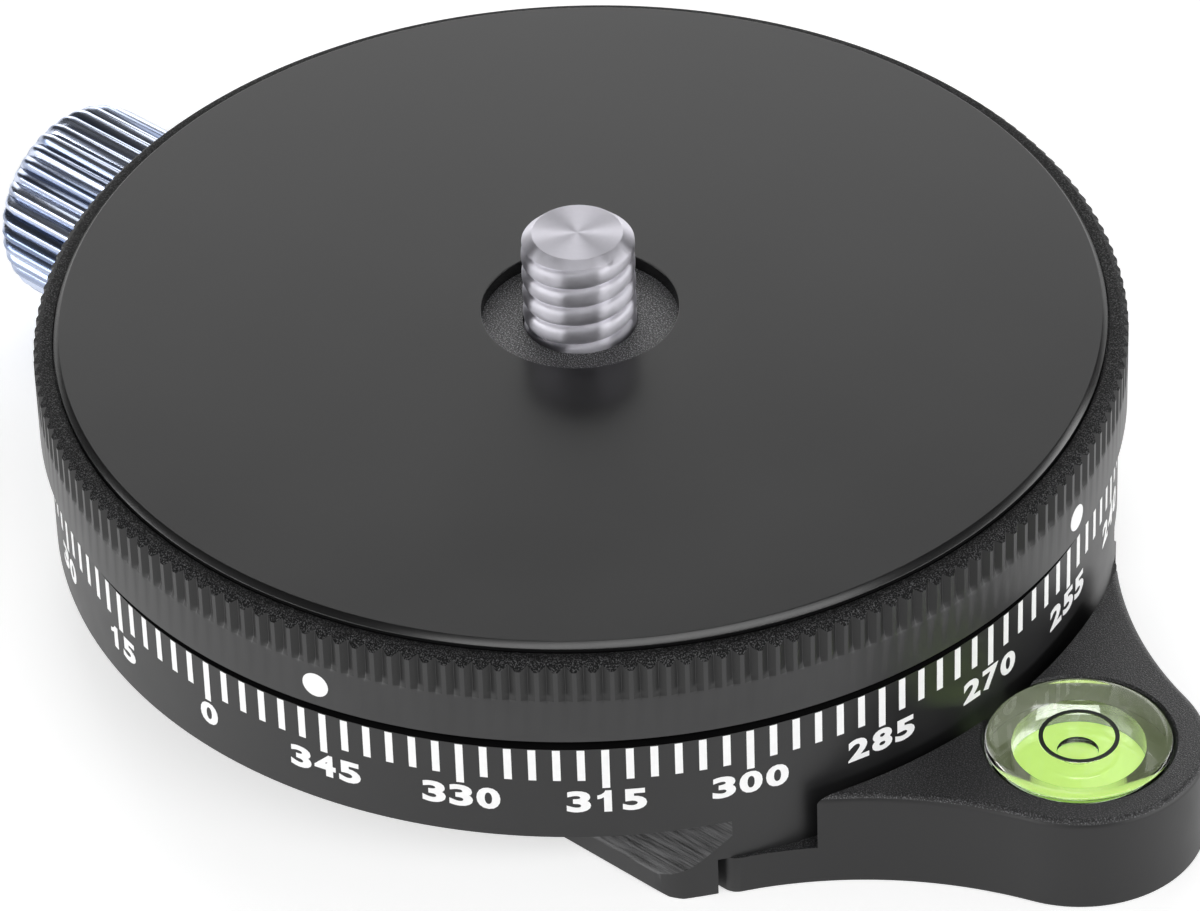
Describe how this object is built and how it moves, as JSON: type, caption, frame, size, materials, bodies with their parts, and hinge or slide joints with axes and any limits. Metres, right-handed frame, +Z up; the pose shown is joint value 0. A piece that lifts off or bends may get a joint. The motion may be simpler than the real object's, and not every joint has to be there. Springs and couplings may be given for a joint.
{
  "type": "panoramic tripod head",
  "caption": "Low round panoramic head: knurled turntable with pad and camera stud on a scaled drum with dovetail foot, side lock knob and round bubble level.",
  "frame": {"origin": "centre of the tripod thread's mouth, in the base's bottom face, on the pan axis", "axes": "+Z up along the pan axis, +X towards the round level, -X towards the lock knob, Y across the dovetail foot"},
  "size_m": [0.0846, 0.061, 0.0232],
  "materials": {
    "anodised_black": "satin black anodised",
    "blasted_black": "bead blasted, black",
    "pad_rubber": "smooth matte",
    "bright_steel": "turned, bright",
    "plated_steel": "nickel plated",
    "black_steel": "black oxide",
    "plain_aluminium": "turned",
    "knob_aluminium": "bright blue-silver anodised",
    "bearing_bronze": "sintered",
    "shoe_brass": "turned",
    "bearing_plastic": "natural acetal",
    "vial_white": "white, seen through the fluid",
    "vial_clear": "clear acrylic",
    "vial_lime": "lime green fluid",
    "ring_black": "printed black"
  },
  "bodies": {
    "base": {"base_body": "anodised_black", "thread_reducer": "plated_steel", "sleeve_bush": "bearing_bronze", "lower_washer": "bearing_plastic", "upper_washer": "bearing_plastic", "retaining_ring": "plain_aluminium", "ring_screws": "black_steel", "stop_pin": "bright_steel", "level_bracket": "blasted_black", "bracket_screws": "black_steel", "vial_base": "vial_white", "vial_body": "vial_clear", "vial_fluid": "vial_lime", "vial_ring": "ring_black"},
    "pan_top": {"turntable": "anodised_black", "turntable_screws": "black_steel", "top_pad": "pad_rubber", "camera_stud": "bright_steel", "spindle": "plated_steel"},
    "brake": {"lock_shoe": "shoe_brass"},
    "lock": {"lock_screw": "bright_steel", "lock_knob": "knob_aluminium"}
  },
  "joints": [
    {"name": "pan", "type": "hinge", "parent": "base", "child": "pan_top", "pos_m": [0, 0, 0.008], "axis": [0, 0, 1], "continuous": true},
    {"name": "shoe_slide", "type": "slide", "parent": "base", "child": "brake", "axis": [1, 0, 0], "range_m": [-0.0008, 0.00028]},
    {"name": "knob_turn", "type": "hinge", "parent": "brake", "child": "lock", "pos_m": [-0.0365, 0, 0.0064], "axis": [1, 0, 0], "range_deg": [-360, 126]}
  ],
  "couplings": [
    {"joint": "knob_turn", "follows": "shoe_slide", "rad_per_m": 7854}
  ]
}
